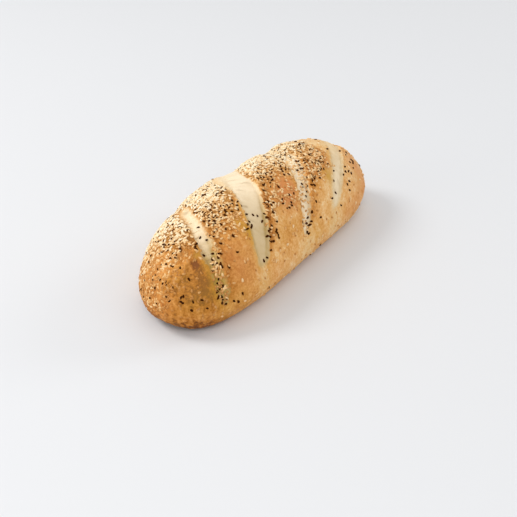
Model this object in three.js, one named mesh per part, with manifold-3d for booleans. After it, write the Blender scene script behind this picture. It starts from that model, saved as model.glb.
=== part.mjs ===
import * as THREE from 'three';
import { mergeVertices } from 'three/addons/utils/BufferGeometryUtils.js';
import { MeshSurfaceSampler } from 'three/addons/math/MeshSurfaceSampler.js';
import Module from 'manifold-3d';

// A long hand-shaped loaf, slashed four times across the top and scattered with sesame before baking.
// It is one solid in millimetres. +X runs along the loaf, -Y is its front, +Z is up and it rests on z = 0.
// Angles around the loaf are measured from its top, and grow towards the front.

const { clamp, degToRad, lerp, mapLinear, seededRandom, smoothstep } = THREE.MathUtils;

// Size of the dough
const LOAF_LENGTH = 350;
const LOAF_WIDTH = 127;
const LOAF_HEIGHT = 93.5;
const WAIST_HEIGHT = 24;
const LOAF_SAG = -10.5;
const WIDTH_TAPER = -0.014;
const HEIGHT_TAPER = -0.042;

// Fullness of the round forms: 2 is an ellipse, and more is squarer
const PLAN_FULLNESS = 3.35;
const NEAR_PROFILE = 2.7;
const FAR_PROFILE = 3.3;
const DOME_FULLNESS = 1.85;
const BELLY_FULLNESS = 2.4;

// The flat sole reaches all but the rounded edge under the belly and the lifted ends
const SOLE_SPREAD = 1.32;
const SOLE_LENGTH = 1.16;
const SOLE_ROUND = 0.15;
const END_LIFT = 7;

// The sole is flat on a three-cornered foot, clockwise from above, and lifts a little from there to its edges
const FOOT = [[-60, 30], [95, -3], [-60, -32]];
const SOLE_LIFT = 1;
const LIFT_DEPTH = 20;

// Each slash crosses the ridge at one place along the loaf, leans in plan, curls on its way to the front and
// sweeps on its way to the back, and closes at an angle on either side. Its foot keeps a share of its width.
// The lobe of crust beyond it swells over the plain round form.
const SLASHES = [
  {
    ridge: -113.5, lean: 33, curl: 9, sweep: 21, width: 14.5, foot: 0.65,
    depth: 3.8, back: -66, front: 86, lobe: 4.2,
  },
  {
    ridge: -33.5, lean: 35, curl: -18, sweep: 44, width: 37, foot: 1,
    depth: 3.9, back: -88, front: 73, lobe: 2,
  },
  {
    ridge: 48.5, lean: 9, curl: -47, sweep: 37, width: 23, foot: 1,
    depth: 4.2, back: -70, front: 77, lobe: 3.2,
  },
  {
    ridge: 135, lean: 24, curl: -63, sweep: -40, width: 29, foot: 0.85,
    depth: 1.7, back: -22, front: 72, lobe: 1.2,
  },
];
const NEAR_LOBE = 2.6;

// A slash narrows to its foot between two angles
const TAPER_FROM = 15;
const TAPER_TO = 55;

// The walls of a slash are gentle on the back and steep on the front, and it is shallower on the back
const BACK_SHARE = 0.75;
const BACK_WALL = 16;
const FRONT_WALL = 5;
const GENTLE_ANGLE = -30;
const STEEP_ANGLE = 25;

// The crust sinks gently towards each slash, also a little past its tips
const VALLEY_SHARE = 0.55;
const VALLEY_RUN_ON = 0.35;
const VALLEY_REACH = 17;

// Relief is full over the top and dies out below the waist and at the tips of the loaf
const RELIEF_FULL = 80;
const RELIEF_NONE = 106;
const TIP_RADIUS = 30;

// Facets of the crust, closer together over the top than under the sole
const FACETS_AROUND = 42;
const FACETS_ALONG = 78;
const TOP_CROWDING = 0.35;
const END_CROWDING = 0.5;

// Sesame seeds, half sunk in the crust
const SEED_COUNT = 140;
const SEED_LENGTH = 3.6;
const SEED_WIDTH = 2.2;
const SEED_THICKNESS = 1.4;
const SEED_TAPER = 0.3;
const SEED_SINK = 0.15;
const SEED_GAP = 8.5;
const SEED_TRIES = 6000;
const SEED_START = 71;

// Where seed lies: thick over the top and the near end, thin on the far end and inside the slashes
const SEED_BACK = -62;
const SEED_FRONT = 34;
const SEED_NEAR_END = 30;
const SEED_FADE = 16;
const FAR_END_SEED = 0.35;
const SLASH_SEED = 0.15;
const END_START = 96;
const END_FULL = 148;

const CRUST_COLOUR = 0xcf975c;
const CRUST_ROUGHNESS = 0.78;
const JOIN_TOLERANCE = 1e-3;

const HALF_LENGTH = LOAF_LENGTH / 2;

function signedPower(value, exponent) {
  return Math.sign(value) * Math.abs(value) ** exponent;
}

// Rises one to one, then rounds over and stays at 1
function levelOff(value) {
  const over = clamp(value - 1 + SOLE_ROUND, 0, 2 * SOLE_ROUND);
  return Math.min(value, 1 - SOLE_ROUND) + over - over * over / (4 * SOLE_ROUND);
}

function slashMiddle(slash, angle) {
  const side = Math.sin(angle);
  const bend = side > 0 ? slash.curl : slash.sweep;
  return slash.ridge - slash.lean * side + bend * side * side;
}

// Distance past a slash's middle line along the loaf, and how far it has opened: 0 at its tips, 1 half way
function slashAt(slash, x, angle) {
  const back = degToRad(slash.back);
  const front = degToRad(slash.front);
  const place = clamp((2 * angle - front - back) / (front - back), -1, 1);
  return { past: x - slashMiddle(slash, angle), opening: Math.sqrt(1 - place * place) };
}

// From 0 on the back to 1 on the front
function steepness(angle) {
  return smoothstep(angle, degToRad(GENTLE_ANGLE), degToRad(STEEP_ANGLE));
}

// Share of a slash's depth that is cut at a point, 1 on its floor and 0 on the crust around it
function slashFloor(slash, x, angle) {
  const { past, opening } = slashAt(slash, x, angle);
  const taper = lerp(1, slash.foot, smoothstep(angle, degToRad(TAPER_FROM), degToRad(TAPER_TO)));
  const edge = slash.width / 2 * opening * taper;
  const wall = lerp(BACK_WALL, FRONT_WALL, steepness(angle));
  return opening * (1 - smoothstep(Math.abs(past), edge - wall / 2, edge + wall / 2));
}

// Height of the crust over the plain round form: lobes, the valleys between them and the slashes
function relief(x, angle) {
  let swell = NEAR_LOBE;
  let sink = 0;
  for (const slash of SLASHES) {
    const { past, opening } = slashAt(slash, x, angle);
    const valley = VALLEY_SHARE * lerp(VALLEY_RUN_ON, 1, opening) * Math.exp(-((past / VALLEY_REACH) ** 2));
    const depth = slash.depth * lerp(BACK_SHARE, 1, steepness(angle));
    sink += depth * (valley + slashFloor(slash, x, angle));
    swell = lerp(swell, slash.lobe, smoothstep(past, -slash.width / 2, slash.width / 2));
  }
  return (swell - sink) * (1 - smoothstep(Math.abs(angle), degToRad(RELIEF_FULL), degToRad(RELIEF_NONE)));
}

function loafPoint(x, angle) {
  const along = clamp(x / HALF_LENGTH, -1, 1);
  const reach = Math.abs(along);
  const profile = along < 0 ? NEAR_PROFILE : FAR_PROFILE;
  const halfWidth = LOAF_WIDTH / 2 * (1 + WIDTH_TAPER * along) * Math.sqrt(1 - reach ** PLAN_FULLNESS);
  const dome = (LOAF_HEIGHT * (1 + HEIGHT_TAPER * along) - WAIST_HEIGHT) * Math.sqrt(1 - reach ** profile);
  const belly = WAIST_HEIGHT * levelOff(SOLE_LENGTH * Math.sqrt(1 - reach ** END_LIFT));

  const up = Math.cos(angle);
  const across = -halfWidth * signedPower(Math.sin(angle), 2 / DOME_FULLNESS);
  const above = dome * Math.max(up, 0) ** (2 / DOME_FULLNESS);
  const spread = lerp(SOLE_SPREAD, 1, reach ** END_LIFT);
  const below = belly * levelOff(spread * Math.max(-up, 0) ** (2 / BELLY_FULLNESS));
  const level = above - below;

  const radius = Math.hypot(across, level);
  const growth = 1 + relief(x, angle) * Math.min(1, radius / TIP_RADIUS) / Math.max(radius, 1);
  const sag = LOAF_SAG * along * along;
  return new THREE.Vector3(x, across * growth + sag, WAIST_HEIGHT + level * growth);
}

function seedCover(x, angle) {
  const fade = degToRad(SEED_FADE);
  const nearEnd = smoothstep(-x, END_START, END_FULL);
  const farEnd = smoothstep(x, END_START, END_FULL);
  const front = degToRad(SEED_FRONT + SEED_NEAR_END * nearEnd);
  const back = degToRad(SEED_BACK - SEED_NEAR_END * nearEnd);
  let cover = smoothstep(angle, back - fade, back) * (1 - smoothstep(angle, front, front + fade));
  cover *= lerp(1, FAR_END_SEED, farEnd);
  for (const slash of SLASHES) {
    cover *= lerp(1, SLASH_SEED, slashFloor(slash, x, angle));
  }
  return cover;
}

// Where a ring of facets that crosses the ridge at one place lies at an angle. It leans as the slashes do.
function ringPlace(ridge, angle) {
  const marks = [-HALF_LENGTH, ...SLASHES.map((slash) => slash.ridge), HALF_LENGTH];
  const places = [-HALF_LENGTH, ...SLASHES.map((slash) => slashMiddle(slash, angle)), HALF_LENGTH];
  const next = Math.max(1, marks.findIndex((mark) => mark >= ridge));
  return mapLinear(ridge, marks[next - 1], marks[next], places[next - 1], places[next]);
}

// The crust is a ball drawn out into the loaf
function crustGeometry() {
  const geometry = new THREE.SphereGeometry(1, FACETS_AROUND, FACETS_ALONG);
  const { position, uv } = geometry.attributes;
  const cover = new Float32Array(position.count);
  for (let i = 0; i < position.count; i++) {
    const turn = 2 * Math.PI * (0.5 - uv.getX(i));
    const angle = turn - TOP_CROWDING * Math.sin(turn);
    const share = 1 - uv.getY(i);
    const arc = lerp(Math.acos(1 - 2 * share), Math.PI * share, END_CROWDING);
    const x = ringPlace(-HALF_LENGTH * Math.cos(arc), angle);
    const point = loafPoint(x, angle);
    position.setXYZ(i, point.x, point.y, point.z);
    cover[i] = seedCover(x, angle);
  }
  geometry.setAttribute('cover', new THREE.BufferAttribute(cover, 1));
  return geometry;
}

// The slab of space under the sole outside one side of the foot
function liftGeometry(start, end) {
  const side = end.clone().sub(start);
  const middle = start.clone().lerp(end, 0.5);
  const geometry = new THREE.BoxGeometry(2 * LOAF_LENGTH, LOAF_LENGTH, LIFT_DEPTH);
  geometry.translate(0, LOAF_LENGTH / 2, -LIFT_DEPTH / 2);
  geometry.rotateX(degToRad(SOLE_LIFT));
  geometry.rotateZ(side.angle());
  geometry.translate(middle.x, middle.y, 0);
  return geometry;
}

// A flat teardrop lying on its side, pointed towards +X
function seedGeometry() {
  const geometry = new THREE.IcosahedronGeometry(1);
  const { position } = geometry.attributes;
  for (let i = 0; i < position.count; i++) {
    const girth = 1 - SEED_TAPER * position.getX(i);
    const x = position.getX(i) * SEED_LENGTH / 2;
    const y = position.getY(i) * girth * SEED_WIDTH / 2;
    const z = position.getZ(i) * girth * SEED_THICKNESS / 2;
    position.setXYZ(i, x, y, z);
  }
  return geometry;
}

// Places for the seeds on the crust, each a matrix that lays a seed flat and turns it at random
function seedPlaces(crust) {
  const sampler = new MeshSurfaceSampler(new THREE.Mesh(crust));
  seededRandom(SEED_START);
  sampler.setWeightAttribute('cover').setRandomGenerator(() => seededRandom()).build();
  const up = new THREE.Vector3(0, 0, 1);
  const spots = [];
  const places = [];
  for (let tries = 0; tries < SEED_TRIES && places.length < SEED_COUNT; tries++) {
    const spot = new THREE.Vector3();
    const normal = new THREE.Vector3();
    sampler.sample(spot, normal);
    const spin = new THREE.Quaternion().setFromAxisAngle(up, 2 * Math.PI * seededRandom());
    if (spots.every((other) => other.distanceTo(spot) > SEED_GAP)) {
      const lie = new THREE.Quaternion().setFromUnitVectors(up, normal).multiply(spin);
      const centre = spot.clone().addScaledVector(normal, -SEED_SINK * SEED_THICKNESS);
      spots.push(spot);
      places.push(new THREE.Matrix4().compose(centre, lie, new THREE.Vector3(1, 1, 1)));
    }
  }
  return places;
}

const wasm = await Module();
wasm.setup();

function solidFrom(geometry) {
  const bare = new THREE.BufferGeometry();
  bare.setAttribute('position', geometry.getAttribute('position').clone());
  bare.setIndex(geometry.getIndex());
  const closed = mergeVertices(bare, JOIN_TOLERANCE);
  return new wasm.Manifold(new wasm.Mesh({
    numProp: 3,
    vertProperties: closed.attributes.position.array,
    triVerts: Uint32Array.from(closed.index.array),
  }));
}

// The fused solid, moved so that the middle of its footprint is the origin
function loafGeometry() {
  const crust = crustGeometry();
  let loaf = solidFrom(crust);
  const corners = FOOT.map(([x, y]) => new THREE.Vector2(x, y));
  corners.forEach((corner, i) => {
    loaf = loaf.subtract(solidFrom(liftGeometry(corner, corners[(i + 1) % corners.length])));
  });
  for (const place of seedPlaces(crust)) {
    loaf = loaf.add(solidFrom(seedGeometry().applyMatrix4(place)));
  }
  const { vertProperties, triVerts } = loaf.simplify(JOIN_TOLERANCE).getMesh();
  const geometry = new THREE.BufferGeometry();
  geometry.setAttribute('position', new THREE.BufferAttribute(vertProperties, 3));
  geometry.setIndex(new THREE.BufferAttribute(triVerts, 1));
  geometry.computeBoundingBox();
  const middle = geometry.boundingBox.getCenter(new THREE.Vector3());
  geometry.translate(-middle.x, -middle.y, -geometry.boundingBox.min.z);
  geometry.computeVertexNormals();
  return geometry;
}

const crustMaterial = new THREE.MeshStandardMaterial({
  color: CRUST_COLOUR,
  roughness: CRUST_ROUGHNESS,
  metalness: 0,
});
const loafMesh = new THREE.Mesh(loafGeometry(), crustMaterial);
loafMesh.name = 'loaf';

const part = new THREE.Group();
part.name = 'sesame_loaf';
part.add(loafMesh);

export default part;
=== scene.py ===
import math

import bpy
import numpy as np
from mathutils import Matrix, Vector, noise


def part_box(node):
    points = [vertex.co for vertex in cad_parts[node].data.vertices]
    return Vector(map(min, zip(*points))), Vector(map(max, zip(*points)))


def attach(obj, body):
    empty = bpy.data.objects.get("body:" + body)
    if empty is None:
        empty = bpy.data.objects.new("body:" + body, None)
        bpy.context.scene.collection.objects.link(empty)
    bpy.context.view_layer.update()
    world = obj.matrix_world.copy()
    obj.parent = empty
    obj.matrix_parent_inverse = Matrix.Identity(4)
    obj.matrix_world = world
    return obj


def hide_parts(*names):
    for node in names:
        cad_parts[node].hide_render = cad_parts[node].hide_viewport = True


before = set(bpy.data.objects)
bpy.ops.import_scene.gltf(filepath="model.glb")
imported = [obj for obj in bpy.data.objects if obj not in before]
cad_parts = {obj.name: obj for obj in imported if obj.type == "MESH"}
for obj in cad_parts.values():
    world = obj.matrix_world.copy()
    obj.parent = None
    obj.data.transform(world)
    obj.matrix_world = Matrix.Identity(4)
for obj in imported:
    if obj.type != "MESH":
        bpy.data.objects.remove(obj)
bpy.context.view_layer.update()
loafLow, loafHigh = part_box("loaf")
mm = 0.001
print("frame loaded")


# small helpers
def hexColour(code):  # sRGB hex to linear
    channels = [int(code[i:i + 2], 16) / 255 for i in (1, 3, 5)]
    return [c / 12.92 if c <= 0.04045 else ((c + 0.055) / 1.055) ** 2.4 for c in channels] + [1.0]


def smoothStep(value, low, high):
    t = np.clip((value - low) / (high - low), 0, 1)
    return t * t * (3 - 2 * t)


def blendTo(first, second, share):
    return first + (second - first) * share


def bell(value, width):
    return np.exp(-(value / width) ** 2)


def softNoise(spots, size, shift):  # from -1 to 1, its bumps about one size across
    return np.array([noise.noise(spot) for spot in (spots / size + shift).tolist()])


def addNode(tree, kind, settings=None, inputs=None):
    node = tree.nodes.new(kind)
    for key, value in (settings or {}).items():
        if key == "stops":  # places and colours along a ramp
            while len(node.color_ramp.elements) < len(value):
                node.color_ramp.elements.new(1.0)
            for element, (place, colour) in zip(node.color_ramp.elements, value):
                element.position = place
                element.color = hexColour(colour)
        else:
            setattr(node, key, value)
    for key, value in (inputs or {}).items():
        if isinstance(value, bpy.types.NodeSocket):
            tree.links.new(value, node.inputs[key])
        else:
            node.inputs[key].default_value = value
    return node


def newMaterial(name):
    material = bpy.data.materials.new(name)
    material.use_nodes = True
    material.node_tree.nodes.clear()
    return material, material.node_tree


def newObject(name, data):
    piece = bpy.data.objects.new(name, data)
    bpy.context.scene.collection.objects.link(piece)
    return piece


def storeValue(mesh, name, values):
    attribute = mesh.attributes.new(name, "FLOAT", "POINT")
    attribute.data.foreach_set("value", np.asarray(values, np.float32))


# the dough: a long rounded form with a flat sole, in millimetres
dough = {
    "length": 350, "width": 127, "height": 93.5, "waist": 24,
    "sag": -10.5, "widthTaper": -0.014, "heightTaper": -0.042,
    "planFullness": 3.35, "nearProfile": 2.7, "farProfile": 3.3, "domeFullness": 1.85, "bellyFullness": 2.4,
    "soleSpread": 1.32, "soleLength": 1.16, "soleRound": 0.15, "endLift": 7,
    "rings": 404, "steps": 242, "topCrowding": 0.42, "endCrowding": 0.5,
}

# slashes from the near end to the far one: angles in degrees from the top, growing towards the front.
# "foot" narrows a slash towards its front tip, and "lobe" is how far the crust swells beyond it.
# the rest is the look: how far seeded crust covers the far edge at the top and at the foot (below 0 the
# pale floor climbs the wall), where the pale floor starts and how pale its top is, how softly its edges
# fade (near edge at the top and at the foot, then far edge), seeds at its top and foot, how much painted
# shade darkens its lower part (partly greyer, dustier dough), the painted shade along its edges, the far
# wall's browning and dark seeds, and the gold of the near edge
slashes = [
    {"ridge": -113.5, "lean": 33, "curl": 9, "sweep": 21, "width": 14.5, "foot": 0.65, "depth": 3.8,
     "back": -66, "front": 86, "lobe": 4.2, "topCover": 0, "footCover": 0, "paleFrom": -36, "paleTop": 0.85,
     "topSoft": 12, "footSoft": 2, "farSoft": 3, "topSeeds": 0.03, "footSeeds": 0.7,
     "dusk": 0.8, "creviceShade": 0.3, "wallBrown": 0.1, "wallSeeds": 0.1, "gold": 0.5},
    {"ridge": -33.5, "lean": 35, "curl": -18, "sweep": 44, "width": 37, "foot": 1, "depth": 3.9,
     "back": -88, "front": 73, "lobe": 2, "topCover": 7, "footCover": -1.6, "paleFrom": -90, "paleTop": 1,
     "topSoft": 42, "footSoft": 5, "farSoft": 0, "topSeeds": 0, "footSeeds": 0,
     "dusk": 0.56, "creviceShade": 0.4, "wallBrown": 0.5, "wallSeeds": 0.5, "gold": 0.55},
    {"ridge": 48.5, "lean": 9, "curl": -47, "sweep": 37, "width": 23, "foot": 1, "depth": 4.2,
     "back": -70, "front": 77, "lobe": 3.2, "topCover": 0, "footCover": 0, "paleFrom": 0, "paleTop": 1,
     "topSoft": 2, "footSoft": 3, "farSoft": 0, "topSeeds": 0.4, "footSeeds": 0.2,
     "dusk": 0.15, "creviceShade": 0.3, "wallBrown": 0.3, "wallSeeds": 0.4, "gold": 0.2},
    {"ridge": 135, "lean": 24, "curl": -63, "sweep": -40, "width": 29, "foot": 0.85, "depth": 1.7,
     "back": -22, "front": 72, "lobe": 1.2, "topCover": 0, "footCover": 0, "paleFrom": -8, "paleTop": 0.6,
     "topSoft": 30, "footSoft": 12, "farSoft": 10, "topSeeds": 0.02, "footSeeds": 0,
     "dusk": 0.2, "creviceShade": 0.2, "wallBrown": 0.1, "wallSeeds": 0.3, "gold": 0.4},
]


def levelOff(value):  # rises one to one, then rounds over and stays at 1
    bend = dough["soleRound"]
    over = np.clip(value - 1 + bend, 0, 2 * bend)
    return np.minimum(value, 1 - bend) + over - over * over / (4 * bend)


def slashMiddle(slash, angle):
    side = np.sin(angle)
    bow = np.where(side > 0, slash["curl"], slash["sweep"])
    return slash["ridge"] - slash["lean"] * side + bow * side * side


def slashOpening(slash, angle):  # 0 at the tips of a slash, 1 half way
    back, front = math.radians(slash["back"]), math.radians(slash["front"])
    place = np.clip((2 * angle - front - back) / (front - back), -1, 1)
    return np.sqrt(1 - place * place)


def plainForm(x, angle):  # across and above the waist line, before any relief
    along = np.clip(x / (dough["length"] / 2), -1, 1)
    reach = np.abs(along)
    profile = np.where(along < 0, dough["nearProfile"], dough["farProfile"])
    plan = np.sqrt(1 - reach ** dough["planFullness"])
    halfWidth = dough["width"] / 2 * (1 + dough["widthTaper"] * along) * plan
    height = dough["height"] * (1 + dough["heightTaper"] * along)
    dome = (height - dough["waist"]) * np.sqrt(1 - reach ** profile)
    belly = dough["waist"] * levelOff(dough["soleLength"] * np.sqrt(1 - reach ** dough["endLift"]))
    side, up = np.sin(angle), np.cos(angle)
    across = -halfWidth * np.sign(side) * np.abs(side) ** (2 / dough["domeFullness"])
    above = dome * np.maximum(up, 0) ** (2 / dough["domeFullness"])
    spread = blendTo(dough["soleSpread"], 1, reach ** dough["endLift"])
    below = belly * levelOff(spread * np.maximum(-up, 0) ** (2 / dough["bellyFullness"]))
    return across, above - below, dough["sag"] * along * along


# grid of places on the crust: rings lean as the slashes do, and crowd over the top and the ends
halfLength = dough["length"] / 2
turn = np.linspace(-math.pi, math.pi, dough["steps"], endpoint=False)
angleRow = turn - dough["topCrowding"] * np.sin(turn)
share = np.linspace(0, 1, dough["rings"] + 1)[1:-1]
arc = blendTo(np.arccos(1 - 2 * share), math.pi * share, dough["endCrowding"])
ridgeColumn = -halfLength * np.cos(arc)
marks = [-halfLength] + [slash["ridge"] for slash in slashes] + [halfLength]
placeX = np.empty((len(ridgeColumn), len(angleRow)))
for step, angle in enumerate(angleRow):
    places = [-halfLength] + [float(slashMiddle(slash, angle)) for slash in slashes] + [halfLength]
    placeX[:, step] = np.interp(ridgeColumn, marks, places)
x = np.concatenate([[-halfLength], placeX.ravel(), [halfLength]])
angle = np.concatenate([[0], np.tile(angleRow, len(ridgeColumn)), [0]])
degrees = np.degrees(angle)
around = angle * dough["width"] / 2

across, level, bend = plainForm(x, angle)
radius = np.hypot(across, level)
plainPoints = np.stack([x, across + bend, dough["waist"] + level], 1)
plainHeight = plainPoints[:, 2]


def placeShare(middleX, middleAngle, alongReach, aroundReach):  # 1 in the middle of a place, less round it
    return bell(x - middleX, alongReach) * bell(degrees - middleAngle, aroundReach)


# unevenness of the crust: size in millimetres of each kind, and the shift that picks its pattern
patterns = {
    "ragged": (7, 3.7), "raggedFine": (2.8, 19.1), "frayed": (5, 71.5), "frayedFine": (2.2, 33.3),
    "broad": (34, 41.3), "lumps": (12, 7.9), "knobs": (5.5, 28.6), "blisters": (3.2, 57.7),
    "streaks": (3.4, 23.9), "strands": (3.6, 0.3), "cracks": (9, 5.1),
    "patches": (24, 88.2), "red": (30, 12.4), "yellow": (22, 65.8),
}
bumps = {  # heights in millimetres, shares, and pairs of places or angles between which something sets in
    "broad": 0.8, "lumps": 0.35, "knobs": 0.45, "blisters": 0.55, "streaks": 0.14, "streakStretch": 14,
    "nearCap": (118, 158), "offSole": (1, 14), "streakSide": (25, 55), "grain": 0.75, "capGrain": 1.5,
    "smoothFace": 0.7, "smoothTorn": 0.6, "smoothFront": 0.6, "frontSide": (40, 60),
    "raggedFine": 0.6, "frayedFine": 0.7,
}


def crustNoise(name):
    return softNoise(plainPoints, *patterns[name])


ragged = crustNoise("ragged") + bumps["raggedFine"] * crustNoise("raggedFine")
frayed = crustNoise("frayed") + bumps["frayedFine"] * crustNoise("frayedFine")
broad = crustNoise("broad")
lumps = crustNoise("lumps")
knobs = crustNoise("knobs")
blisters = crustNoise("blisters")
streaks = softNoise(np.stack([x, around / bumps["streakStretch"], broad], 1), *patterns["streaks"])
nearCap = smoothStep(-x, *bumps["nearCap"])

# relief of the lobes and of the torn slashes: valleys, walls, lips, strands and cracks. lengths are in
# millimetres, and pairs are the angles or lengths between which something sets in
tearing = {
    "nearLobe": 2.6, "backWall": 16, "frontWall": 4, "steepFrom": (-30, 25), "taper": (15, 55),
    "valleyShare": 0.55, "valleyRunOn": 0.35, "valleyReach": 17, "backShare": 0.75,
    "lip": 0.9, "lipReach": 2.4, "lipEven": 0.6, "lipUneven": 0.8, "ragged": 1.2, "crown": 0.8,
    "strands": 0.45, "strandStretch": 5, "slant": 0.45, "pullBroad": 5, "pullLumps": 2, "slashShift": 40,
    "cracks": 0.25, "crackWidth": 0.05, "crackStretch": 2, "crackedFrom": (0, 0.6),
    "fray": 1.6, "openFrom": (0.1, 0.5), "paleFade": 14, "paleDown": (18, 48), "softFall": 1.5,
    "paleInset": 1, "paleOutset": 2, "shadeDown": (0, 50), "shadeEdge": (2, 8),
    "creviceInset": 2, "creviceWidth": 2.2, "creviceDown": (5, 35),
    "reliefEnds": (80, 106), "tipRadius": 30,
}
steep = smoothStep(degrees, *tearing["steepFrom"])
wall = blendTo(tearing["backWall"], tearing["frontWall"], steep)
lower = smoothStep(degrees, *tearing["shadeDown"])
lipHeight = tearing["lipEven"] + tearing["lipUneven"] * broad
swell = np.full(len(x), float(tearing["nearLobe"]))
sink, lip, cut, strands, cracks, crown, dusk = (np.zeros(len(x)) for _ in range(7))
pasts, edges, openings, fades, covered = [], [], [], [], []
for number, slash in enumerate(slashes):
    past = x - slashMiddle(slash, angle)
    opening = slashOpening(slash, angle)
    taper = blendTo(1, slash["foot"], smoothStep(degrees, *tearing["taper"]))
    edge = slash["width"] / 2 * opening * taper
    out = np.abs(past) - edge + tearing["ragged"] * ragged * np.minimum(1, 2 * opening)
    floorShare = opening * (1 - smoothStep(out, -wall / 2, wall / 2))
    valley = blendTo(tearing["valleyRunOn"], 1, opening) * bell(past, tearing["valleyReach"])
    depth = slash["depth"] * blendTo(tearing["backShare"], 1, steep)
    sink += depth * (tearing["valleyShare"] * valley + floorShare)
    swell = blendTo(swell, slash["lobe"], smoothStep(past, -slash["width"] / 2, slash["width"] / 2))
    lip += steep * opening * bell(out - tearing["lipReach"], tearing["lipReach"]) * lipHeight
    crown += floorShare * np.clip(1 - (past / np.maximum(edge, 1)) ** 2, 0, 1)
    pull = around - tearing["slant"] * past + tearing["pullBroad"] * broad + tearing["pullLumps"] * lumps
    layer = np.full(len(x), tearing["slashShift"] * number)
    weave = np.stack([past / tearing["strandStretch"], pull, layer], 1)
    strands += floorShare * softNoise(weave, *patterns["strands"])
    split = softNoise(weave / [tearing["crackStretch"], 1, 1], *patterns["cracks"])
    cracks += floorShare * bell(split, tearing["crackWidth"])
    # how pale the floor is, and the painted shade that darkens its lower part (partly greyer, dustier
    # dough) and the inside of its edges
    paleStart = smoothStep(degrees - slash["paleFrom"], -tearing["paleFade"], tearing["paleFade"])
    bare = smoothStep(opening, *tearing["openFrom"]) * paleStart
    nearFade = slash["topSoft"] * (1 - steep) ** tearing["softFall"] + slash["footSoft"] * steep
    fade = np.where(past < 0, nearFade, slash["farSoft"])
    overEdge = np.where(past > 0, blendTo(slash["topCover"], slash["footCover"], steep), 0)
    pale = bare * blendTo(slash["paleTop"], 1, smoothStep(degrees, *tearing["paleDown"]))
    fadeFrom = -wall / 3 - tearing["paleInset"] - fade / 3
    fadeTo = tearing["paleOutset"] + fade
    pale *= 1 - smoothStep(out + overEdge + tearing["fray"] * frayed, fadeFrom, fadeTo)
    cut = np.maximum(cut, pale)
    # painted shade: darker down the lower part of the floor, partly greyer, dustier dough, and darker along
    # the inside of its edges
    dusk += slash["dusk"] * lower * (1 - smoothStep(out, *tearing["shadeEdge"]))
    creviceShade = bell(out + tearing["creviceInset"], tearing["creviceWidth"])
    dusk += slash["creviceShade"] * opening * creviceShade * smoothStep(degrees, *tearing["creviceDown"])
    pasts.append(past)
    edges.append(edge)
    openings.append(opening)
    fades.append(fade)
    covered.append(overEdge)
cracks *= smoothStep(broad + lumps, *tearing["crackedFrom"])
shown = 1 - smoothStep(np.abs(degrees), *tearing["reliefEnds"])
torn = tearing["crown"] * crown + tearing["strands"] * strands - tearing["cracks"] * cracks
relief = (swell - sink + tearing["lip"] * lip + torn) * shown

# a fold beside the first slash: the seeded cap ends in a lip over a smooth bare face
fold = {
    "top": 17, "topFade": (-2, 3), "slope": 0.25, "level": 6, "wander": 4, "foot": 76, "footFade": (-22, 8),
    "reach": 33, "endFade": (-5, 7), "edgeFade": (-2, 1), "lip": 2.2, "lipWidth": 3.5, "lipFull": 12,
    "hollow": 1.9,
}
fromEdge = pasts[0] + edges[0]
beforeEdge = 1 - smoothStep(fromEdge, *fold["edgeFade"])
foldTop = fold["top"] - fold["slope"] * (fromEdge + fold["level"]) + fold["wander"] * lumps
face = smoothStep(degrees - foldTop, *fold["topFade"])
face *= 1 - smoothStep(degrees - fold["foot"], *fold["footFade"])
face *= smoothStep(fromEdge + fold["reach"], *fold["endFade"]) * beforeEdge
foldLip = bell(degrees - foldTop, fold["lipWidth"]) * beforeEdge
foldLip *= smoothStep(fromEdge, -fold["reach"], -fold["lipFull"])
relief += fold["lip"] * foldLip - fold["hollow"] * face

# the bumps of baking, away from the sole
offSole = smoothStep(plainHeight, *bumps["offSole"])
frontSide = smoothStep(degrees, *bumps["frontSide"]) * (1 - nearCap)
grainy = (1 - cut) * (1 - bumps["smoothFace"] * face) * (bumps["grain"] + bumps["capGrain"] * nearCap)
grainy *= 1 - bumps["smoothFront"] * frontSide
relief += (bumps["broad"] * broad + bumps["lumps"] * lumps * (1 - bumps["smoothTorn"] * cut)) * offSole
relief += (bumps["knobs"] * knobs + bumps["blisters"] * blisters) * grainy * offSole
relief += bumps["streaks"] * streaks * smoothStep(degrees, *bumps["streakSide"]) * offSole
growth = 1 + relief * np.minimum(1, radius / tearing["tipRadius"]) / np.maximum(radius, 1)
points = np.stack([x, across * growth + bend, dough["waist"] + level * growth], 1)

# into the frame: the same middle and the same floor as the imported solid
low, high = points.min(0), points.max(0)
middle = np.array([(low[0] + high[0]) / 2, (low[1] + high[1]) / 2, low[2]])
home = np.array([(loafLow.x + loafHigh.x) / 2, (loafLow.y + loafHigh.y) / 2, loafLow.z])
points = (points - middle) * mm + home
print("crust form worked out:", len(points), "points")

# faces: quads along the loaf, and a fan at each tip
rings, steps = placeX.shape
index = 1 + np.arange(rings * steps).reshape(rings, steps)
nextStep = np.roll(index, -1, 1)
quads = np.stack([index[:-1], nextStep[:-1], nextStep[1:], index[1:]], -1).reshape(-1, 4)
faces = quads.tolist()
last = len(points) - 1
faces += [[0, int(b), int(a)] for a, b in zip(index[0], nextStep[0])]
faces += [[last, int(a), int(b)] for a, b in zip(index[-1], nextStep[-1])]
crustMesh = bpy.data.meshes.new("crust")
crustMesh.from_pydata(points.tolist(), [], faces)
crustMesh.polygons.foreach_set("use_smooth", [True] * len(crustMesh.polygons))
crustMesh.validate()
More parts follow.
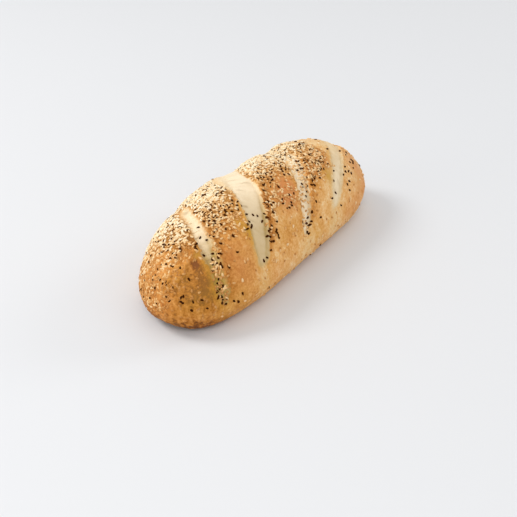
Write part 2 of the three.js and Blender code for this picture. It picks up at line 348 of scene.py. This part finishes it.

# how brown each place has baked: 0 is pale gold, 1 is dark, and where it turned red or yellow. it also
# carries painted shade in the crust's hollows, between the seeds and under the fold lip, and a painted
# highlight on that lip
baking = {
    "base": 0.32, "nearEnd": 0.32, "nearFrom": (70, 160), "farEnd": -0.15, "farFrom": (-20, 100),
    "foot": 0.05, "nearFoot": 0.4, "footHeight": (0, 26), "patches": 0.14, "patchUneven": 0.5,
    "streaks": 0.1, "streakSide": (20, 50), "hollowShade": 0.16, "plainHollows": 0.4, "capHollows": 0.9,
    "faceHollows": 0.5, "redPatches": 0.25, "yellowPatches": 0.3, "underSeedShade": 0.36, "underCap": 0.7,
    "rim": 0.1, "rimOut": 3, "rimWidth": 5, "rimEven": 0.6, "rimPatchy": 0.8,
    "belowTips": -0.22, "tipWidth": 13, "tipDrop": 6, "tipReach": 17, "tipGold": 0.25,
    "wallSide": (8, 32), "wallOut": 4, "wallWidth": 5, "goldOut": 2, "goldWidth": 3.5, "strandShade": 0.15,
}
bakedPatches = {  # middle along the loaf and around it, reach both ways, then browning, red and yellow
    "shoulder before the wide slash": (-52, -22, 17, 18, -0.58, 0, 0.05),
    "top of the near end": (-158, -20, 12, 24, -0.22, 0.15, 0),
    "bare face by the fold": (-155, 46, 20, 30, 0.28, 0.1, 0.2),
    # painted shade in the hollow under the fold lip
    "painted shade under the fold lip": (-143, 25, 5, 5, 0.3, 0.1, -0.2),
    # painted highlight on the lit edge of the fold lip
    "painted highlight on the fold lip": (-138, 21, 4, 3, -0.3, 0, 0.6),
    "front of the second lobe": (-110, 54, 17, 20, 0, 0.35, 0),
    "edge before the wide slash": (-84, 32, 6, 16, -0.05, 0, 0.7),
    "middle of the third lobe": (-6, 36, 17, 11, 0.1, 0.7, 0),
    "third lobe by its slash": (5, 27, 8, 10, -0.12, 0.95, 0),
    "fourth lobe": (62, 32, 14, 9, 0.06, 0.4, 0),
    "edge before the last slash": (66, 43, 10, 9, -0.1, 0, 0.75),
    "top of the last slash": (106, 2, 20, 16, -0.34, 0, 0.1),
    "foot of the third lobe": (-45, 88, 26, 14, -0.16, 0, 0),
    "foot of the fourth lobe": (18, 86, 26, 14, -0.12, 0, 0),
    "foot of the far end": (98, 86, 24, 14, 0.2, 0.4, 0),
    "far end": (140, 66, 22, 26, 0.1, 0.5, 0),
}
patches = crustNoise("patches")
browning = baking["base"] + baking["nearEnd"] * smoothStep(-x, *baking["nearFrom"])
browning += baking["farEnd"] * smoothStep(x, *baking["farFrom"])
lowDown = 1 - smoothStep(plainHeight, *baking["footHeight"])
browning += baking["patches"] * patches + (baking["foot"] + baking["nearFoot"] * nearCap) * lowDown
browning += baking["streaks"] * streaks * smoothStep(degrees, *baking["streakSide"])
# painted shade: hollows between the knobs and blisters darkened, their tops lightened
hollowShadeShare = (baking["plainHollows"] + baking["capHollows"] * nearCap) * (1 - baking["faceHollows"] * face)
browning -= baking["hollowShade"] * (knobs + blisters) * hollowShadeShare
redness = np.clip(baking["redPatches"] * crustNoise("red"), 0, 1)
yellowness = np.clip(baking["yellowPatches"] * crustNoise("yellow"), 0, 1)
darkWalls, brownWalls = np.zeros(len(x)), np.zeros(len(x))
for slash, past, edge, opening in zip(slashes, pasts, edges, openings):
    rim = opening * bell(np.abs(past) - edge - baking["rimOut"], baking["rimWidth"])
    browning += baking["rim"] * rim * (baking["rimEven"] + baking["rimPatchy"] * patches)
    belowTip = degrees - slash["front"] - baking["tipDrop"]
    tip = bell(past, baking["tipWidth"]) * bell(belowTip, baking["tipReach"])
    browning += baking["belowTips"] * tip
    front = opening * smoothStep(degrees, *baking["wallSide"])
    farWall = bell(past - edge - baking["wallOut"], baking["wallWidth"]) * front
    darkWalls += slash["wallSeeds"] * farWall
    brownWalls += slash["wallBrown"] * farWall
    nearEdge = bell(past + edge + baking["goldOut"], baking["goldWidth"]) * front
    yellowness += baking["tipGold"] * tip + slash["gold"] * nearEdge
browning += brownWalls
for patchX, patchAngle, alongReach, aroundReach, brown, red, yellow in bakedPatches.values():
    share = placeShare(patchX, patchAngle, alongReach, aroundReach) * (1 + baking["patchUneven"] * lumps)
    browning += brown * share
    redness += red * share
    yellowness += yellow * share

# where sesame lies: a limit on the front side for each lobe, fewer inside the slashes and on the bare face.
# pairs are distances or angles between which something sets in
sesameCover = {
    "frontLimits": [26, 33, 44, 38, 24], "lobeShares": [0.7, 1, 1, 1, 0.25], "lobeBlend": (-6, 6),
    "fade": (-10, 10), "ragged": 7, "wideSlashLimit": 16, "wideSlashReach": 12, "lastSlashLimit": -12,
    "lastSlashReach": 18, "capLimit": 14, "capFrom": (146, 166), "backLimit": -64, "capBack": 25,
    "capBackFrom": (150, 168), "bareFrom": (80, 96), "bareFray": 4, "bareTo": (0, 12),
    "bareSide": (-50, -20), "frontShare": 0.72, "frontSide": (-12, 18), "strays": 0.03, "capStrays": 2,
    "lightEven": 0.85, "lightPatchy": 0.35, "lightOffFace": 0.92, "aboveFloor": (8, 22),
    "darkEven": 0.45, "darkLumpy": 0.6, "darkOffFace": 0.7, "darkOffCap": 0.25, "darkStrays": 0.5,
    "floorEdge": 3, "floorFray": 2, "floorSoft": 0.35, "floorFrom": (-14, 8), "floorDown": (24, 50),
    "darkFloors": 0.5, "floorStrays": 0.035, "floorStraysDown": (10, 30), "darkWalls": 0.6,
    "brownMost": 0.8, "goldBare": 1.6, "goldOut": 3, "goldWidth": 5, "goldDown": (5, 25),
}
bareSpot = {  # a reddened place on the third lobe: middle and reach as in bakedPatches, then how bare
    "place": (5, 31, 13, 13), "light": 1.3, "lumpy": 0.6, "most": 0.9, "dark": 1.4, "darkMost": 0.95,
}
darkClusters = {  # middle along the loaf and around it, reach both ways, then how many
    "near side of the wide slash": (-73, 36, 5, 10, 0.25),
    "floor of the third slash": (13, 50, 6, 12, 0.2),
    "beyond the wide slash": (-49, 49, 4, 7, 0.8),
    "beyond its foot": (-59, 56, 4, 5, 0.9),
    "floor of the wide slash": (-66, 31, 9, 8, 0.22),
    "back of the near end": (-145, -26, 4, 5, 1.5),
    "second lobe by the first slash": (-105, 12, 10, 10, 0.7),
    "top of the third lobe": (-8, 14, 14, 10, 0.7),
    "fourth lobe": (60, 28, 13, 8, 0.8),
    "tip of the third slash": (4, 66, 7, 6, 0.8),
    "beyond the last slash": (103, 56, 9, 5, 0.5),
    "far end": (128, 44, 7, 12, 0.4),
    "foot of the last slash": (66, 56, 9, 9, 0.2),
    "first slash half way down": (-130, 40, 4, 10, 0.8),
    "foot of the first slash": (-137, 68, 4, 9, 1.2),
    "low on the near end": (-148, 82, 22, 18, 0.1),
    "tip of the near end": (-166, 53, 4, 7, 0.8),
    "tip of the wide slash": (-78, 64, 3, 5, 0.5),
}
limit = np.full(len(x), float(sesameCover["frontLimits"][0]))
cover = np.full(len(x), float(sesameCover["lobeShares"][0]))
for past, reach, share in zip(pasts, sesameCover["frontLimits"][1:], sesameCover["lobeShares"][1:]):
    onLobe = smoothStep(past, *sesameCover["lobeBlend"])
    limit = blendTo(limit, reach, onLobe)
    cover = blendTo(cover, share, onLobe)
wander = sesameCover["ragged"] * (lumps + broad)
limit += sesameCover["wideSlashLimit"] * bell(pasts[1] - edges[1], sesameCover["wideSlashReach"])
limit += sesameCover["lastSlashLimit"] * bell(pasts[3] + edges[3], sesameCover["lastSlashReach"])
limit += sesameCover["capLimit"] * smoothStep(-x, *sesameCover["capFrom"]) + wander
cover *= 1 - smoothStep(degrees - limit, *sesameCover["fade"])
# a bare strip before the last slash, and the limit on the back
bareStrip = smoothStep(x + sesameCover["bareFray"] * frayed, *sesameCover["bareFrom"])
bareStrip *= 1 - smoothStep(pasts[3], *sesameCover["bareTo"])
cover *= 1 - bareStrip * smoothStep(degrees, *sesameCover["bareSide"])
capBack = sesameCover["capBack"] * smoothStep(-x, *sesameCover["capBackFrom"])
back = sesameCover["backLimit"] - capBack + wander
cover *= smoothStep(degrees - back, *sesameCover["fade"])
spot = placeShare(*bareSpot["place"])
spotBare = np.clip(bareSpot["light"] * spot + bareSpot["lumpy"] * lumps * spot, 0, 1)
cover *= 1 - bareSpot["most"] * spotBare
thinning = blendTo(1, sesameCover["frontShare"], smoothStep(degrees, *sesameCover["frontSide"]))
lightCover = cover * thinning * (sesameCover["lightEven"] + sesameCover["lightPatchy"] * patches)
lightCover *= 1 - sesameCover["lightOffFace"] * face
lightCover += sesameCover["strays"] * (1 + sesameCover["capStrays"] * nearCap)
darkCover = cover * (sesameCover["darkEven"] + sesameCover["darkLumpy"] * lumps)
darkCover *= (1 - sesameCover["darkOffFace"] * face) * (1 - sesameCover["darkOffCap"] * nearCap)
darkCover += sesameCover["darkStrays"] * sesameCover["strays"]
floorStrays = sesameCover["floorStrays"] * smoothStep(degrees, *sesameCover["floorStraysDown"])
floorDown = smoothStep(degrees, *sesameCover["floorDown"])
goldSide = smoothStep(degrees, *sesameCover["goldDown"])
for slash, past, edge, opening, fade, overEdge in zip(slashes, pasts, edges, openings, fades, covered):
    offMiddle = np.abs(past) + overEdge + sesameCover["floorFray"] * frayed
    offMiddle -= sesameCover["floorSoft"] * fade
    inside = 1 - smoothStep(offMiddle - edge, -sesameCover["floorEdge"], sesameCover["floorEdge"])
    inside *= smoothStep(opening, *tearing["openFrom"])
    inside *= smoothStep(degrees - slash["paleFrom"], *sesameCover["floorFrom"])
    floorSeeds = blendTo(slash["topSeeds"], slash["footSeeds"], floorDown)
    goldEdge = opening * bell(past + edge + sesameCover["goldOut"], sesameCover["goldWidth"]) * goldSide
    lightCover *= 1 - sesameCover["goldBare"] * slash["gold"] * goldEdge
    lightCover = blendTo(lightCover, floorSeeds, inside)
    darkCover = blendTo(darkCover, sesameCover["darkFloors"] * floorSeeds + floorStrays, inside)
lightCover *= 1 - np.clip(brownWalls, 0, sesameCover["brownMost"])
darkCover += sesameCover["darkWalls"] * darkWalls
for clusterX, clusterAngle, alongReach, aroundReach, amount in darkClusters.values():
    darkCover += amount * placeShare(clusterX, clusterAngle, alongReach, aroundReach)
darkCover *= 1 - np.clip(bareSpot["dark"] * spot, 0, bareSpot["darkMost"])
lightShare = np.clip(lightCover, 0, 1)
# painted shade: the crust is darkened where light seeds lie, for the gaps between them
browning += baking["underSeedShade"] * lightShare * (1 - baking["underCap"] * nearCap)

# how far the seeds have toasted (higher is paler), how deep they sit in millimetres, and where painted
# shade darkens the crust in the gaps between them over the top and the back
seedBaking = {
    "top": 0.4, "front": -0.05, "frontSide": (-15, 25), "thirdSlash": 0.3, "slashReach": 12,
    "slashAngle": 14, "slashSide": 18, "capLumps": 0.3, "capTop": -0.1, "capTopSide": (-50, 0),
    "capFront": -0.3, "capFrontSide": (-5, 20), "capTip": -0.2, "capTipFrom": (150, 168),
    "depth": 0.1, "capDepth": 0.5, "knobDepth": 0.1, "seededSide": (0, 30),
}
seedTone = blendTo(seedBaking["top"], seedBaking["front"], smoothStep(degrees, *seedBaking["frontSide"]))
downThird = degrees - seedBaking["slashAngle"]
inThird = bell(pasts[2], seedBaking["slashReach"]) * bell(downThird, seedBaking["slashSide"])
seedTone += seedBaking["thirdSlash"] * inThird
capTone = seedBaking["capLumps"] * lumps
capTone += seedBaking["capTop"] * smoothStep(degrees, *seedBaking["capTopSide"])
capTone += seedBaking["capFront"] * smoothStep(degrees, *seedBaking["capFrontSide"])
capTone += seedBaking["capTip"] * smoothStep(-x, *seedBaking["capTipFrom"])
seedTone = blendTo(seedTone, capTone, nearCap)
seedSink = seedBaking["depth"] + seedBaking["capDepth"] * nearCap + seedBaking["knobDepth"] * knobs
# painted shade in the seed gaps, over the top and the back
seeded = lightShare * (1 - smoothStep(degrees, *seedBaking["seededSide"])) * (1 - nearCap)
aboveFloor = smoothStep(plainHeight, *sesameCover["aboveFloor"])
crustValues = {
    "cut": cut, "cracks": np.clip(cracks, 0, 1),
    # painted shade on the torn floors, lifted on the raised strands and deepened between them
    "dusk": np.clip(dusk - baking["strandShade"] * strands, 0, 1), "gloss": face,
    "browning": np.clip(browning, 0, 1), "redness": np.clip(redness, 0, 1),
    "yellowness": np.clip(yellowness, 0, 1), "seedTone": seedTone, "seedSink": seedSink * mm,
    "seeded": seeded, "lightCover": lightShare * aboveFloor,
    "darkCover": np.clip(darkCover, 0, 1) * aboveFloor,
}
for name, values in crustValues.items():
    storeValue(crustMesh, name, values)
print("baking and seed cover worked out")

# oven-browned wheat crust: matt, with a faint gloss on the bare face, and mottled by small blisters, with
# painted shade in the gaps between the seeds. torn dough inside the slashes stays pale, with painted shade
# down its lower part, along its edges and between its strands, partly greyer, dustier dough. grain sizes
# are in millimetres
crustLook = {
    "crust": [(0.0, "#f2cf9a"), (0.2, "#e9b470"), (0.4, "#dd9e52"), (0.6, "#c9853a"), (0.8, "#b06c1e"),
              (1.0, "#6f3d0c")],
    "torn": [(0.0, "#dfb572"), (0.5, "#eed2a4"), (1.0, "#fbe7c6")],
    # the seed-gap colour is painted shade, and the colour after it is painted shade on the torn floors,
    # partly greyer dough
    "redness": "#d6874e", "yellowness": "#cc9834", "seeded": "#96682f",
    "dusk": "#b38f40", "cracks": "#ab8c5e",
    "mottle": 9, "speck": 2.2, "grain": 1.1, "seedGrain": 2.7, "detail": 3.0, "grainContrast": 0.6,
    "mottleShare": 0.7, "speckShare": 0.9, "evenTone": 0.8, "tornSpeck": 0.8, "tornEven": 0.4,
    "tornFrom": 0.15, "tornFull": 0.75, "roughness": 0.62, "faceRoughness": 0.52, "tornRoughness": 0.88,
    "shine": 0.2, "fineBump": 0.4, "fineHeight": 0.4, "seedBump": 0.5, "seedHeight": 0.8,
}


def makeCrustMaterial():
    material, tree = newMaterial("ovenBrownedCrust")
    place = addNode(tree, "ShaderNodeTexCoord").outputs["Object"]
    read = {name: addNode(tree, "ShaderNodeAttribute", {"attribute_name": name}).outputs["Fac"]
            for name in ("browning", "redness", "yellowness", "seeded", "cut", "cracks", "dusk", "gloss")}
    grains = {name: addNode(tree, "ShaderNodeTexNoise", None, {
        "Vector": place, "Scale": 1 / (crustLook[name] * mm), "Detail": crustLook["detail"],
        "Roughness": crustLook["grainContrast"]}).outputs["Fac"]
        for name in ("mottle", "speck", "grain", "seedGrain")}
    mottled = addNode(tree, "ShaderNodeMath", {"operation": "MULTIPLY_ADD"}, {
        0: grains["mottle"], 1: crustLook["mottleShare"], 2: read["browning"]}).outputs[0]
    specked = addNode(tree, "ShaderNodeMath", {"operation": "MULTIPLY_ADD"}, {
        0: grains["speck"], 1: crustLook["speckShare"], 2: mottled}).outputs[0]
    tone = addNode(tree, "ShaderNodeMath", {"operation": "SUBTRACT"}, {
        0: specked, 1: crustLook["evenTone"]}).outputs[0]
    tornPlace = addNode(tree, "ShaderNodeMath", {"operation": "MULTIPLY_ADD"}, {
        0: grains["speck"], 1: crustLook["tornSpeck"], 2: read["cut"]}).outputs[0]
    tornTone = addNode(tree, "ShaderNodeMath", {"operation": "SUBTRACT"}, {
        0: tornPlace, 1: crustLook["tornEven"]}).outputs[0]
    crustColour = addNode(tree, "ShaderNodeValToRGB", {"stops": crustLook["crust"]}, {
        "Fac": tone}).outputs["Color"]
    tornColour = addNode(tree, "ShaderNodeValToRGB", {"stops": crustLook["torn"]}, {
        "Fac": tornTone}).outputs["Color"]
    for name in ("redness", "yellowness", "seeded"):
        crustColour = addNode(tree, "ShaderNodeMix", {"data_type": "RGBA"}, {
            0: read[name], 6: crustColour, 7: hexColour(crustLook[name])}).outputs[2]
    for name in ("dusk", "cracks"):
        tornColour = addNode(tree, "ShaderNodeMix", {"data_type": "RGBA"}, {
            0: read[name], 6: tornColour, 7: hexColour(crustLook[name])}).outputs[2]
    tornShare = addNode(tree, "ShaderNodeMapRange", {"interpolation_type": "SMOOTHSTEP"}, {
        "Value": tornTone, "From Min": crustLook["tornFrom"],
        "From Max": crustLook["tornFull"]}).outputs["Result"]
    colour = addNode(tree, "ShaderNodeMix", {"data_type": "RGBA"}, {
        0: tornShare, 6: crustColour, 7: tornColour}).outputs[2]
    polish = addNode(tree, "ShaderNodeMapRange", None, {
        "Value": read["gloss"], "To Min": crustLook["roughness"],
        "To Max": crustLook["faceRoughness"]}).outputs["Result"]
    dusty = addNode(tree, "ShaderNodeMix", None, {
        0: tornShare, 2: polish, 3: crustLook["tornRoughness"]}).outputs[0]
    fine = addNode(tree, "ShaderNodeBump", None, {
        "Strength": crustLook["fineBump"], "Distance": crustLook["fineHeight"] * mm,
        "Height": grains["grain"]}).outputs["Normal"]
    rough = addNode(tree, "ShaderNodeBump", None, {
        "Strength": crustLook["seedBump"], "Distance": crustLook["seedHeight"] * mm,
        "Height": grains["seedGrain"], "Normal": fine}).outputs["Normal"]
    shader = addNode(tree, "ShaderNodeBsdfPrincipled", None, {
        "Base Color": colour, "Roughness": dusty, "Specular IOR Level": crustLook["shine"],
        "Normal": rough})
    addNode(tree, "ShaderNodeOutputMaterial", None, {"Surface": shader.outputs["BSDF"]})
    return material


crustMesh.materials.append(makeCrustMaterial())
crust = newObject("crust", crustMesh)
print("crust made:", len(crustMesh.polygons), "faces")


# sesame: flat teardrop seeds, light ones hulled and toasted, dark ones left in their skins. sizes and the
# gap between seeds are in millimetres, density in seeds for each square millimetre, tilt in degrees
sesame = {
    "length": 3.5, "width": 2.1, "thickness": 1.3, "taper": 0.42, "rings": 3, "steps": 6, "rise": 0.28,
    "toastSpread": 0.7,
}
lightSesame = {"gap": 1.62, "density": 0.95, "sizeLow": 0.9, "sizeHigh": 1.2, "tilt": 15, "seed": 7}
darkSesame = {"gap": 2.2, "density": 0.07, "sizeLow": 0.95, "sizeHigh": 1.25, "tilt": 15, "seed": 12}


def makeSeedMesh():
    corners, faces = [(-0.5, 0, 0)], []
    for ring in range(1, sesame["rings"] + 1):
        along = -math.cos(math.pi * ring / (sesame["rings"] + 1))
        girth = math.sqrt(1 - along * along) * (1 - sesame["taper"] * along)
        for step in range(sesame["steps"]):
            turn = 2 * math.pi * step / sesame["steps"]
            corners.append((along / 2, girth * math.cos(turn) / 2, girth * math.sin(turn) / 2))
    corners.append((0.5, 0, 0))
    steps, tip = sesame["steps"], len(corners) - 1
    for step in range(steps):
        after = (step + 1) % steps
        faces.append((0, 1 + after, 1 + step))
        for ring in range(sesame["rings"] - 1):
            start = 1 + ring * steps
            faces.append((start + step, start + after, start + steps + after, start + steps + step))
        faces.append((tip, tip - steps + step, tip - steps + after))
    size = (sesame["length"] * mm, sesame["width"] * mm, sesame["thickness"] * mm)
    shaped = [(x * size[0], y * size[1], (z + sesame["rise"]) * size[2]) for x, y, z in corners]
    mesh = bpy.data.meshes.new("sesameSeed")
    mesh.from_pydata(shaped, [], faces)
    mesh.polygons.foreach_set("use_smooth", [True] * len(mesh.polygons))
    return mesh


def makeScatterTree():
    tree = bpy.data.node_groups.new("sesameScatter", "GeometryNodeTree")
    tree.interface.new_socket("Geometry", in_out="INPUT", socket_type="NodeSocketGeometry")
    sockets = {
        "Seed Shape": "Object", "Cover": "String", "Gap": "Float", "Density": "Float", "Size Low": "Float",
        "Size High": "Float", "Tilt": "Float", "Seed": "Int", "Finish": "Material",
    }
    for name, kind in sockets.items():
        tree.interface.new_socket(name, in_out="INPUT", socket_type="NodeSocket" + kind)
    tree.interface.new_socket("Geometry", in_out="OUTPUT", socket_type="NodeSocketGeometry")
    given = addNode(tree, "NodeGroupInput").outputs
    cover, sink, tone = (
        addNode(tree, "GeometryNodeInputNamedAttribute", {"data_type": "FLOAT"}, {"Name": name}).outputs[0]
        for name in (given["Cover"], "seedSink", "seedTone"))
    spots = addNode(tree, "GeometryNodeDistributePointsOnFaces", {"distribute_method": "POISSON"}, {
        "Mesh": given["Geometry"], "Distance Min": given["Gap"], "Density Max": given["Density"],
        "Density Factor": cover, "Seed": given["Seed"]}).outputs
    # each seed lies flat on the crust, turned at random and tilted a little
    tiltBack = addNode(tree, "ShaderNodeMath", {"operation": "MULTIPLY"}, {
        0: given["Tilt"], 1: -1.0}).outputs[0]
    lowTurn = addNode(tree, "ShaderNodeCombineXYZ", None, {"X": tiltBack, "Y": tiltBack}).outputs[0]
    highTurn = addNode(tree, "ShaderNodeCombineXYZ", None, {
        "X": given["Tilt"], "Y": given["Tilt"], "Z": 2 * math.pi}).outputs[0]
    turn = addNode(tree, "FunctionNodeRandomValue", {"data_type": "FLOAT_VECTOR"}, {
        "Min": lowTurn, "Max": highTurn, "Seed": given["Seed"]}).outputs[0]
    rotation = addNode(tree, "FunctionNodeEulerToRotation", None, {"Euler": turn}).outputs[0]
    turned = addNode(tree, "FunctionNodeRotateRotation", {"rotation_space": "LOCAL"}, {
        "Rotation": spots["Rotation"], "Rotate By": rotation}).outputs[0]
    size = addNode(tree, "FunctionNodeRandomValue", {"data_type": "FLOAT"}, {
        2: given["Size Low"], 3: given["Size High"], "Seed": given["Seed"]}).outputs[1]
    shape = addNode(tree, "GeometryNodeObjectInfo", None, {
        "Object": given["Seed Shape"], "As Instance": True}).outputs["Geometry"]
    scattered = addNode(tree, "GeometryNodeInstanceOnPoints", None, {
        "Points": spots["Points"], "Instance": shape, "Rotation": turned, "Scale": size}).outputs[0]
    down = addNode(tree, "ShaderNodeVectorMath", {"operation": "SCALE"}, {
        0: (0, 0, -1), "Scale": sink}).outputs[0]
    settled = addNode(tree, "GeometryNodeTranslateInstances", None, {
        "Instances": scattered, "Translation": down, "Local Space": True}).outputs[0]
    # how far each seed has toasted, by chance and by its place
    chance = addNode(tree, "FunctionNodeRandomValue", {"data_type": "FLOAT"}, {
        "Seed": given["Seed"]}).outputs[1]
    toast = addNode(tree, "ShaderNodeMath", {"operation": "MULTIPLY_ADD"}, {
        0: chance, 1: sesame["toastSpread"], 2: tone}).outputs[0]
    toned = addNode(tree, "GeometryNodeStoreNamedAttribute", {"data_type": "FLOAT", "domain": "INSTANCE"}, {
        "Geometry": settled, "Name": "toast", "Value": toast}).outputs[0]
    solid = addNode(tree, "GeometryNodeRealizeInstances", None, {"Geometry": toned}).outputs[0]
    finished = addNode(tree, "GeometryNodeSetMaterial", None, {
        "Geometry": solid, "Material": given["Finish"]}).outputs[0]
    addNode(tree, "NodeGroupOutput", None, {"Geometry": finished})
    return tree


# sesame hull: smooth and slightly waxy, its colour set by how far each seed toasted.
# black sesame skin is dull and nearly even in colour. "mottle" is in millimetres
seedMottle = {"mottle": 1.5, "detail": 2.0, "share": 0.24, "even": 0.12}
seedLooks = {
    "toastedHulledSesame": {
        "stops": [(0.0, "#c08442"), (0.35, "#e3b06e"), (0.7, "#f3d4a2"), (1.0, "#ffefcd")],
        "roughness": 0.6, "shine": 0.25},
    "blackSesameSkin": {
        "stops": [(0.0, "#3a1800"), (0.6, "#4a2200"), (1.0, "#5f2e02")],
        "roughness": 0.8, "shine": 0.05},
}


def makeSeedMaterial(name):
    look = seedLooks[name]
    material, tree = newMaterial(name)
    toast = addNode(tree, "ShaderNodeAttribute", {"attribute_name": "toast"}).outputs["Fac"]
    place = addNode(tree, "ShaderNodeTexCoord").outputs["Object"]
    mottle = addNode(tree, "ShaderNodeTexNoise", None, {
        "Vector": place, "Scale": 1 / (seedMottle["mottle"] * mm),
        "Detail": seedMottle["detail"]}).outputs["Fac"]
    tone = addNode(tree, "ShaderNodeMath", {"operation": "MULTIPLY_ADD"}, {
        0: mottle, 1: seedMottle["share"], 2: toast}).outputs[0]
    level = addNode(tree, "ShaderNodeMath", {"operation": "SUBTRACT"}, {
        0: tone, 1: seedMottle["even"]}).outputs[0]
    colour = addNode(tree, "ShaderNodeValToRGB", {"stops": look["stops"]}, {"Fac": level}).outputs["Color"]
    shader = addNode(tree, "ShaderNodeBsdfPrincipled", None, {
        "Base Color": colour, "Roughness": look["roughness"], "Specular IOR Level": look["shine"]})
    addNode(tree, "ShaderNodeOutputMaterial", None, {"Surface": shader.outputs["BSDF"]})
    return material


def scatterSesame(name, scatter, cover, material):
    host = newObject(name + "Host", crustMesh.copy())
    modifier = host.modifiers.new("sesame", "NODES")
    modifier.node_group = scatterTree
    items = scatterTree.interface.items_tree
    sockets = {item.name: item.identifier for item in items if item.in_out == "INPUT"}
    values = {
        "Seed Shape": seedShape, "Cover": cover, "Gap": scatter["gap"] * mm,
        "Density": scatter["density"] / mm ** 2, "Size Low": scatter["sizeLow"],
        "Size High": scatter["sizeHigh"], "Tilt": math.radians(scatter["tilt"]),
        "Seed": scatter["seed"], "Finish": material,
    }
    for key, value in values.items():
        modifier[sockets[key]] = value
    depsgraph = bpy.context.evaluated_depsgraph_get()
    evaluated = host.evaluated_get(depsgraph)
    mesh = bpy.data.meshes.new_from_object(evaluated, preserve_all_data_layers=True, depsgraph=depsgraph)
    bpy.data.objects.remove(host)  # its modifier goes with it
    mesh.name = name
    seeds = newObject(name, mesh)
    perSeed = 2 * sesame["steps"] * sesame["rings"]  # triangles
    print(name, "made:", sum(len(p.vertices) - 2 for p in mesh.polygons) // perSeed, "seeds")
    return seeds


seedShape = newObject("sesameSeedShape", makeSeedMesh())
scatterTree = makeScatterTree()
lightFinish = makeSeedMaterial("toastedHulledSesame")
darkFinish = makeSeedMaterial("blackSesameSkin")
lightSeeds = scatterSesame("lightSesame", lightSesame, "lightCover", lightFinish)
darkSeeds = scatterSesame("darkSesame", darkSesame, "darkCover", darkFinish)
bpy.data.objects.remove(seedShape)

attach(crust, "root")
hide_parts("loaf")
for seeds in (lightSeeds, darkSeeds):
    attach(seeds, "root")

# studio: a pale matt floor in white surroundings, a key light from behind on the left, and three soft
# fills. sizes are in metres, power in watts, and azimuth turns in degrees from +X towards +Y
studio = {
    "floor": "#e2e3e5", "floorSize": 8, "floorRoughness": 0.9, "floorShine": 0.2,
    "surroundings": 0.62, "distance": 3,
    "lights": [
        {"name": "keyLight", "power": 36, "size": 1.2, "azimuth": 120, "elevation": 45},
        {"name": "frontLight", "power": 17, "size": 1.2, "azimuth": 210, "elevation": 45},
        {"name": "sideLight", "power": 15, "size": 1.2, "azimuth": 330, "elevation": 25},
        {"name": "leftLight", "power": 8, "size": 1.2, "azimuth": 160, "elevation": 22},
    ],
}
view = {"place": (-0.7202, -0.4470, 0.5228), "azimuth": -58.41, "elevation": 32.18, "roll": 2.21,
        "lens": 65.74, "sensor": 36}


def makeFloor():
    half = studio["floorSize"] / 2
    corners = [(-half, -half, 0), (half, -half, 0), (half, half, 0), (-half, half, 0)]
    mesh = bpy.data.meshes.new("floor")
    mesh.from_pydata(corners, [], [(0, 1, 2, 3)])
    material, tree = newMaterial("paleFloor")
    shader = addNode(tree, "ShaderNodeBsdfPrincipled", None, {
        "Base Color": hexColour(studio["floor"]), "Roughness": studio["floorRoughness"],
        "Specular IOR Level": studio["floorShine"]})
    addNode(tree, "ShaderNodeOutputMaterial", None, {"Surface": shader.outputs["BSDF"]})
    mesh.materials.append(material)
    return newObject("floor", mesh)


def addSoftLight(name, power, size, azimuth, elevation):
    lamp = bpy.data.lights.new(name, "AREA")
    lamp.energy = power
    lamp.shape = "DISK"
    lamp.size = size
    light = newObject(name, lamp)
    swing, rise = math.radians(azimuth), math.radians(elevation)
    towards = Vector((math.cos(swing) * math.cos(rise), math.sin(swing) * math.cos(rise), math.sin(rise)))
    light.location = towards * studio["distance"]
    light.rotation_euler = towards.to_track_quat("Z", "Y").to_euler()


makeFloor()
for light in studio["lights"]:
    addSoftLight(**light)
scene = bpy.context.scene
world = bpy.data.worlds.new("surroundings")
world.use_nodes = True
background = world.node_tree.nodes["Background"]
background.inputs["Color"].default_value = (1, 1, 1, 1)
background.inputs["Strength"].default_value = studio["surroundings"]
scene.world = world
scene.view_settings.view_transform = "Standard"

camera = newObject("camera", bpy.data.cameras.new("camera"))
camera.data.lens = view["lens"]
camera.data.sensor_width = view["sensor"]
swing = Matrix.Rotation(math.radians(view["azimuth"]), 4, "Z")
tilt = Matrix.Rotation(math.radians(90 - view["elevation"]), 4, "X")
roll = Matrix.Rotation(math.radians(view["roll"]), 4, "Z")
camera.matrix_world = Matrix.Translation(view["place"]) @ swing @ tilt @ roll
scene.camera = camera
print("studio and camera set")
